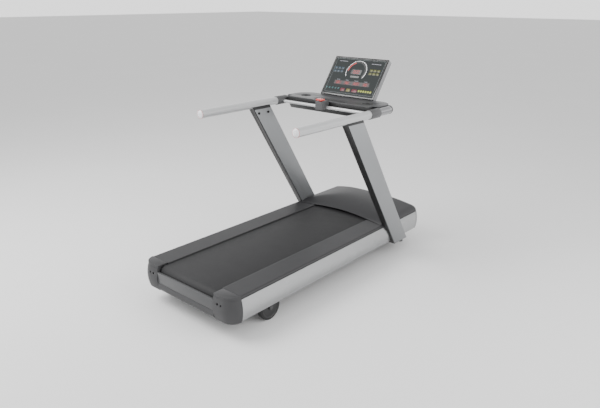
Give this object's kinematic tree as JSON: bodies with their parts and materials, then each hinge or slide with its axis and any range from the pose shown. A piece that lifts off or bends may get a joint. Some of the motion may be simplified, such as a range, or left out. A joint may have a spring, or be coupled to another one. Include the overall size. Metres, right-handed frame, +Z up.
{
  "type": "treadmill",
  "caption": "Commercial motorised treadmill with silver side rails, leaning uprights, long handrails, console tray and tilted display, and a front incline lift.",
  "frame": {"origin": "middle of the footprint at floor level", "axes": "+X to the runner's right, +Y forward from the belt to the console, +Z up"},
  "size_m": [0.968, 2.2, 1.5484],
  "materials": {
    "frame_steel": "satin powder coat",
    "bracket_steel": "satin",
    "extrusion_aluminium": "satin anodised",
    "foot_rail_plastic": "fine grain",
    "cap_plastic": "fine grain",
    "black_screw": "black oxide",
    "bar_plastic": "satin",
    "board_wood": "waxed board",
    "cushion_rubber": "matt",
    "belt_fabric": "fine diamond texture",
    "roller_steel": "turned",
    "pulley_metal": "machined",
    "drive_belt_rubber": "ribbed",
    "motor_paint": "semi-gloss",
    "flywheel_iron": "painted",
    "controller_aluminium": "anodised",
    "hood_plastic": "fine grain",
    "silver_paint": "silver paint",
    "black_plastic": "satin",
    "red_plastic": "gloss",
    "wheel_rubber": "matt",
    "upright_aluminium": "satin anodised",
    "rail_paint": "white-silver satin",
    "cap_white": "gloss",
    "collar_plastic": "satin",
    "rail_chrome": "bright silver",
    "tray_plastic": "satin",
    "insert_plastic": "satin",
    "console_black": "gloss overlay"
  },
  "bodies": {
    "frame": {"frame_rail_left": "frame_steel", "frame_rail_right": "frame_steel", "crossmembers": "frame_steel", "upright_crossmember": "frame_steel", "side_brackets": "bracket_steel", "extrusion_left": "extrusion_aluminium", "extrusion_right": "extrusion_aluminium", "foot_rail_left": "foot_rail_plastic", "foot_rail_right": "foot_rail_plastic", "rear_cap_left": "cap_plastic", "rear_cap_right": "cap_plastic", "rear_cap_screws": "black_screw", "belt_tension_bolts": "black_screw", "rear_bar": "bar_plastic", "rear_cover": "cap_plastic", "running_board": "board_wood", "deck_cushions": "cushion_rubber", "running_belt": "belt_fabric", "roller_bearings": "roller_steel", "roller_axles": "roller_steel", "axle_blocks": "bracket_steel", "drive_belt": "drive_belt_rubber", "motor_housing": "motor_paint", "motor_bracket": "bracket_steel", "controller": "controller_aluminium", "hood": "hood_plastic", "front_cover": "silver_paint", "power_inlet": "black_plastic", "lift_brackets": "bracket_steel", "lift_motor": "motor_paint", "rear_wheel_mounts": "frame_steel", "front_feet": "cushion_rubber", "upright_left": "upright_aluminium", "upright_right": "upright_aluminium", "upright_trims": "black_plastic", "upright_bolts": "black_screw", "handrails": "rail_paint", "rail_end_caps": "cap_white", "rail_collars": "collar_plastic", "cross_tube": "rail_paint", "loop_tube": "rail_chrome", "tray": "tray_plastic", "tray_inserts": "insert_plastic", "tray_base": "black_plastic", "stop_housing": "collar_plastic", "console_shell": "silver_paint", "console_face": "console_black"},
    "motor_rotor": {"motor_shaft": "roller_steel", "motor_pulley": "pulley_metal", "flywheel": "flywheel_iron"},
    "front_roller": {"front_roller": "roller_steel", "roller_pulley": "pulley_metal"},
    "rear_roller": {"rear_roller": "roller_steel"},
    "lift_frame": {"lift_frame": "frame_steel"},
    "lift_wheels": {"lift_wheels": "wheel_rubber"},
    "lift_screw": {"lift_screw": "roller_steel"},
    "rear_wheel_left": {"rear_wheel_left": "wheel_rubber"},
    "rear_wheel_right": {"rear_wheel_right": "wheel_rubber"},
    "power_rocker": {"power_rocker": "red_plastic"},
    "stop_button": {"stop_button": "red_plastic"}
  },
  "joints": [
    {"name": "motor_spin", "type": "hinge", "parent": "frame", "child": "motor_rotor", "pos_m": [0, 0.87, 0.262], "axis": [1, 0, 0], "continuous": true},
    {"name": "front_roller_spin", "type": "hinge", "parent": "frame", "child": "front_roller", "pos_m": [0, 0.64, 0.246], "axis": [1, 0, 0], "continuous": true},
    {"name": "rear_roller_spin", "type": "hinge", "parent": "frame", "child": "rear_roller", "pos_m": [0, -1.03, 0.246], "axis": [1, 0, 0], "continuous": true},
    {"name": "lift_hinge", "type": "hinge", "parent": "frame", "child": "lift_frame", "pos_m": [0, 0.54, 0.112], "axis": [-1, 0, 0], "range_deg": [0, 35.6]},
    {"name": "lift_screw_slide", "type": "slide", "parent": "frame", "child": "lift_screw", "axis": [0, -0.4566, -0.8897], "range_m": [0, 0.22476]},
    {"name": "lift_wheel_spin", "type": "hinge", "parent": "lift_frame", "child": "lift_wheels", "pos_m": [0, 0.96426, 0.042], "axis": [1, 0, 0], "continuous": true},
    {"name": "rear_wheel_left_spin", "type": "hinge", "parent": "frame", "child": "rear_wheel_left", "pos_m": [-0.39, -0.717, 0.088], "axis": [1, 0, 0], "continuous": true},
    {"name": "rear_wheel_right_spin", "type": "hinge", "parent": "frame", "child": "rear_wheel_right", "pos_m": [0.39, -0.717, 0.088], "axis": [1, 0, 0], "continuous": true},
    {"name": "power_rocker_tilt", "type": "hinge", "parent": "frame", "child": "power_rocker", "pos_m": [-0.3, 1.0885, 0.2155], "axis": [1, 0, 0], "range_deg": [0, 16]},
    {"name": "stop_button_press", "type": "slide", "parent": "frame", "child": "stop_button", "axis": [0, 0, -1], "range_m": [0, 0.005], "stiffness_N_per_m": 900, "springref_m": -0.003}
  ],
  "couplings": [
    {"joint": "front_roller_spin", "follows": "motor_spin", "ratio": 0.619},
    {"joint": "rear_roller_spin", "follows": "motor_spin", "ratio": 0.619},
    {"joint": "lift_screw_slide", "follows": "lift_hinge", "m_per_rad": 0.36171}
  ]
}
